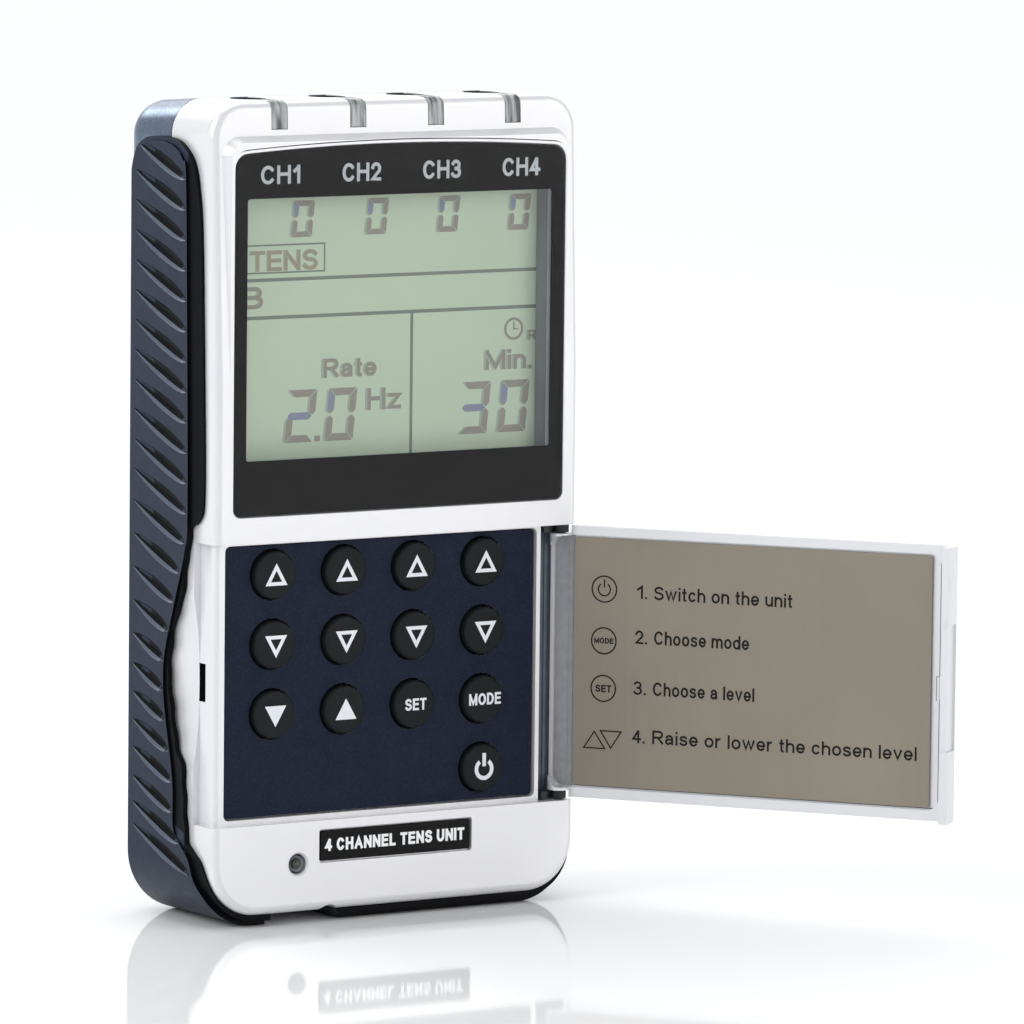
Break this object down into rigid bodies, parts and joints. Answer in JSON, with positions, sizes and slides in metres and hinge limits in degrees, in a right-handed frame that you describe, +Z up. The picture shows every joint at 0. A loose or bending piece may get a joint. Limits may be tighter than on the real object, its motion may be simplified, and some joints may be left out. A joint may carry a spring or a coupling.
{
  "type": "tens unit",
  "caption": "Hand-held nerve stimulator with a display, round keys behind a hinged door, output sockets on top and a ribbed rubber boot.",
  "frame": {"origin": "centre of the base, on the plane the unit stands on", "axes": "+X to the right seen from the front, +Y from the front to the back, +Z up"},
  "size_m": [0.115, 0.0897, 0.1401],
  "materials": {
    "silver_paint": "satin metallic silver paint on moulded plastic",
    "slate_paint": "dark blue-grey metallic paint on moulded plastic",
    "boot_rubber": "soft dark navy elastomer, satin",
    "window_clear": "clear polished acrylic",
    "window_print": "black back print",
    "display_surround": "light grey moulded frame",
    "display_glass": "pale green liquid crystal glass",
    "backlight_diffuser": "white diffuser",
    "circuit_board": "green solder mask",
    "navy_plate": "dark navy plate with a fine metallic sparkle",
    "silicone": "grey silicone",
    "key_black": "black satin key with light printed symbols",
    "socket_black": "black moulded plastic",
    "light_pipe_clear": "clear grey moulded light pipe",
    "status_tint": "tinted dome lens",
    "badge_black": "glossy black plate",
    "door_print": "bronze-grey printed sheet",
    "cell_wrap": "metallic wrap",
    "contact_brass": "plated strip",
    "screw_steel": "plated steel"
  },
  "bodies": {
    "unit": {"front_case": "silver_paint", "rear_case": "slate_paint", "hinge_bracket": "slate_paint", "rubber_boot": "boot_rubber", "display_window": "window_clear", "display_mask": "window_print", "display_frame": "display_surround", "display_glass": "display_glass", "backlight_panel": "backlight_diffuser", "main_board": "circuit_board", "keypad_plate": "navy_plate", "keypad_mat": "silicone", "output_socket_1": "socket_black", "output_socket_2": "socket_black", "output_socket_3": "socket_black", "output_socket_4": "socket_black", "hinge_pin_top": "socket_black", "hinge_pin_bottom": "socket_black", "light_pipe_1": "light_pipe_clear", "light_pipe_2": "light_pipe_clear", "light_pipe_3": "light_pipe_clear", "light_pipe_4": "light_pipe_clear", "status_lens": "status_tint", "name_badge": "badge_black", "battery_cell_1": "cell_wrap", "battery_cell_2": "cell_wrap", "battery_cell_3": "cell_wrap", "battery_cell_4": "cell_wrap", "battery_contact_lower": "contact_brass", "battery_contact_upper": "contact_brass", "case_screw_lower_left": "screw_steel", "case_screw_lower_right": "screw_steel", "case_screw_upper_left": "screw_steel", "case_screw_upper_right": "screw_steel"},
    "keypad_door": {"door_frame": "silver_paint", "door_label": "door_print"},
    "battery_cover": {"battery_door": "slate_paint"},
    "key_up_ch1_cap": {"key_up_ch1": "key_black"},
    "key_up_ch2_cap": {"key_up_ch2": "key_black"},
    "key_up_ch3_cap": {"key_up_ch3": "key_black"},
    "key_up_ch4_cap": {"key_up_ch4": "key_black"},
    "key_down_ch1_cap": {"key_down_ch1": "key_black"},
    "key_down_ch2_cap": {"key_down_ch2": "key_black"},
    "key_down_ch3_cap": {"key_down_ch3": "key_black"},
    "key_down_ch4_cap": {"key_down_ch4": "key_black"},
    "key_decrease_cap": {"key_decrease": "key_black"},
    "key_increase_cap": {"key_increase": "key_black"},
    "key_set_cap": {"key_set": "key_black"},
    "key_mode_cap": {"key_mode": "key_black"},
    "key_power_cap": {"key_power": "key_black"}
  },
  "joints": [
    {"name": "door_hinge", "type": "hinge", "parent": "unit", "child": "keypad_door", "pos_m": [0.0345, -0.014, 0.0416], "axis": [0, 0, 1], "range_deg": [-125.5, 35]},
    {"name": "battery_door_lift_off", "type": "slide", "parent": "unit", "child": "battery_cover", "axis": [0, 1, 0], "range_m": [0, 0.03]},
    {"name": "key_up_ch1_press", "type": "slide", "parent": "unit", "child": "key_up_ch1_cap", "axis": [0, 1, 0], "range_m": [0, 0.0008], "stiffness_N_per_m": 600, "springref_m": -0.0004},
    {"name": "key_up_ch2_press", "type": "slide", "parent": "unit", "child": "key_up_ch2_cap", "axis": [0, 1, 0], "range_m": [0, 0.0008], "stiffness_N_per_m": 600, "springref_m": -0.0004},
    {"name": "key_up_ch3_press", "type": "slide", "parent": "unit", "child": "key_up_ch3_cap", "axis": [0, 1, 0], "range_m": [0, 0.0008], "stiffness_N_per_m": 600, "springref_m": -0.0004},
    {"name": "key_up_ch4_press", "type": "slide", "parent": "unit", "child": "key_up_ch4_cap", "axis": [0, 1, 0], "range_m": [0, 0.0008], "stiffness_N_per_m": 600, "springref_m": -0.0004},
    {"name": "key_down_ch1_press", "type": "slide", "parent": "unit", "child": "key_down_ch1_cap", "axis": [0, 1, 0], "range_m": [0, 0.0008], "stiffness_N_per_m": 600, "springref_m": -0.0004},
    {"name": "key_down_ch2_press", "type": "slide", "parent": "unit", "child": "key_down_ch2_cap", "axis": [0, 1, 0], "range_m": [0, 0.0008], "stiffness_N_per_m": 600, "springref_m": -0.0004},
    {"name": "key_down_ch3_press", "type": "slide", "parent": "unit", "child": "key_down_ch3_cap", "axis": [0, 1, 0], "range_m": [0, 0.0008], "stiffness_N_per_m": 600, "springref_m": -0.0004},
    {"name": "key_down_ch4_press", "type": "slide", "parent": "unit", "child": "key_down_ch4_cap", "axis": [0, 1, 0], "range_m": [0, 0.0008], "stiffness_N_per_m": 600, "springref_m": -0.0004},
    {"name": "key_decrease_press", "type": "slide", "parent": "unit", "child": "key_decrease_cap", "axis": [0, 1, 0], "range_m": [0, 0.0008], "stiffness_N_per_m": 600, "springref_m": -0.0004},
    {"name": "key_increase_press", "type": "slide", "parent": "unit", "child": "key_increase_cap", "axis": [0, 1, 0], "range_m": [0, 0.0008], "stiffness_N_per_m": 600, "springref_m": -0.0004},
    {"name": "key_set_press", "type": "slide", "parent": "unit", "child": "key_set_cap", "axis": [0, 1, 0], "range_m": [0, 0.0008], "stiffness_N_per_m": 600, "springref_m": -0.0004},
    {"name": "key_mode_press", "type": "slide", "parent": "unit", "child": "key_mode_cap", "axis": [0, 1, 0], "range_m": [0, 0.0008], "stiffness_N_per_m": 600, "springref_m": -0.0004},
    {"name": "key_power_press", "type": "slide", "parent": "unit", "child": "key_power_cap", "axis": [0, 1, 0], "range_m": [0, 0.0008], "stiffness_N_per_m": 600, "springref_m": -0.0004}
  ]
}
